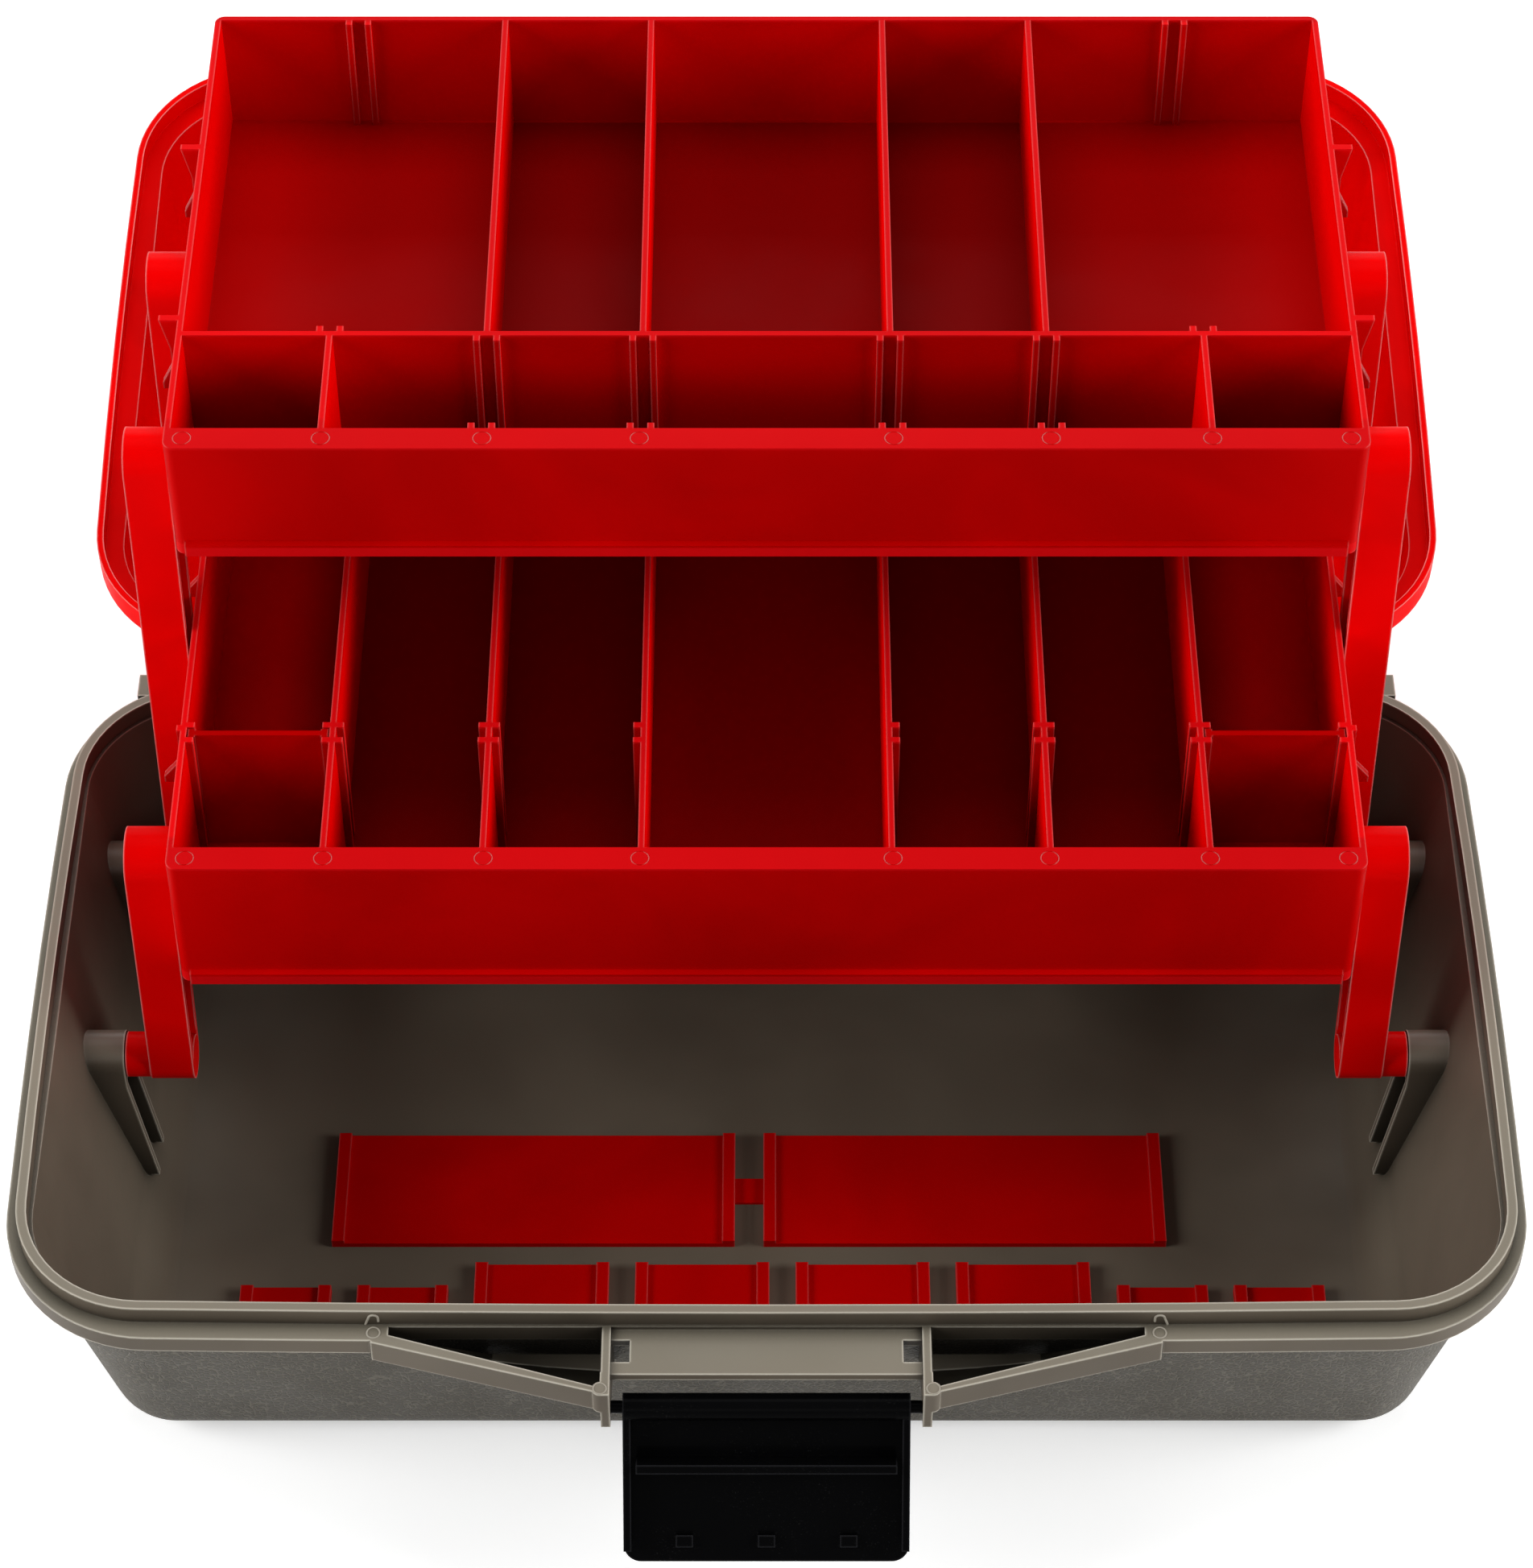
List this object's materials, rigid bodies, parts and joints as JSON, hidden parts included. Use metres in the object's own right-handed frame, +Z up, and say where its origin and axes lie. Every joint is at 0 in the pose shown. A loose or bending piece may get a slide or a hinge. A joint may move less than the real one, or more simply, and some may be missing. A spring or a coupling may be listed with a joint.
{
  "type": "cantilever tool box",
  "caption": "Open plastic tool box with a deep tub, a hinged lid and two divided trays that rise on folding arms, with loose dividers and a front latch.",
  "frame": {"origin": "on the floor under the middle of the tub", "axes": "+X to the right, +Y to the back where the lid lies open, +Z up"},
  "size_m": [0.358, 0.4752, 0.2024],
  "materials": {
    "tub_plastic": "satin, grained outside",
    "red_plastic": "semi-gloss",
    "black_plastic": "gloss",
    "rod_steel": "plain"
  },
  "bodies": {
    "base": {"base_tub": "tub_plastic", "hinge_rod": "rod_steel", "long_divider_pair": "red_plastic", "loose_divider_wide_1": "red_plastic", "loose_divider_wide_2": "red_plastic", "loose_divider_wide_3": "red_plastic", "loose_divider_wide_4": "red_plastic", "loose_divider_narrow_1": "red_plastic", "loose_divider_narrow_2": "red_plastic", "loose_divider_narrow_3": "red_plastic", "loose_divider_narrow_4": "red_plastic"},
    "lid": {"lid_shell": "red_plastic"},
    "lid_handle": {"lid_handle": "black_plastic"},
    "latch": {"latch": "black_plastic"},
    "front_arms": {"front_arm_left": "red_plastic", "front_arm_right": "red_plastic"},
    "lower_tray": {"lower_tray": "red_plastic", "cross_divider_left": "red_plastic", "cross_divider_right": "red_plastic"},
    "rear_arms": {"rear_arm_left": "red_plastic", "rear_arm_right": "red_plastic"},
    "upper_tray": {"upper_tray": "red_plastic"},
    "main_arms": {"main_arm_left": "red_plastic", "main_arm_right": "red_plastic"}
  },
  "joints": [
    {"name": "lid_hinge", "type": "hinge", "parent": "base", "child": "lid", "pos_m": [0, 0.1108, 0.072], "axis": [1, 0, 0], "range_deg": [0, 173.52]},
    {"name": "front_arm_fold", "type": "hinge", "parent": "base", "child": "front_arms", "pos_m": [0, -0.002, 0.0498], "axis": [1, 0, 0], "range_deg": [0, 67.53]},
    {"name": "lower_tray_pivot", "type": "hinge", "parent": "front_arms", "child": "lower_tray", "pos_m": [0, 0.00547, 0.11538], "axis": [1, 0, 0], "range_deg": [-67.53, 0]},
    {"name": "main_arm_fold", "type": "hinge", "parent": "base", "child": "main_arms", "pos_m": [0, 0.06, 0.0498], "axis": [1, 0, 0], "range_deg": [0, 67.53]},
    {"name": "rear_arm_fold", "type": "hinge", "parent": "lower_tray", "child": "rear_arms", "pos_m": [0, 0.12947, 0.11538], "axis": [1, 0, 0], "range_deg": [0, 67.53]},
    {"name": "upper_tray_pivot", "type": "hinge", "parent": "rear_arms", "child": "upper_tray", "pos_m": [0, 0.13685, 0.18016], "axis": [1, 0, 0], "range_deg": [-67.53, 0]},
    {"name": "latch_swing", "type": "hinge", "parent": "base", "child": "latch", "pos_m": [0, -0.1148, 0.0625], "axis": [1, 0, 0], "range_deg": [-146, 0]},
    {"name": "handle_lift", "type": "hinge", "parent": "lid", "child": "lid_handle", "pos_m": [0, 0.21442, 0.00859], "axis": [1, 0, 0], "range_deg": [-90, 0]}
  ],
  "couplings": [
    {"joint": "front_arm_fold", "follows": "lid_hinge", "ratio": 0.38906},
    {"joint": "lower_tray_pivot", "follows": "lid_hinge", "ratio": -0.38906},
    {"joint": "main_arm_fold", "follows": "lid_hinge", "ratio": 0.38906},
    {"joint": "rear_arm_fold", "follows": "lid_hinge", "ratio": 0.38906},
    {"joint": "upper_tray_pivot", "follows": "lid_hinge", "ratio": -0.38906}
  ]
}
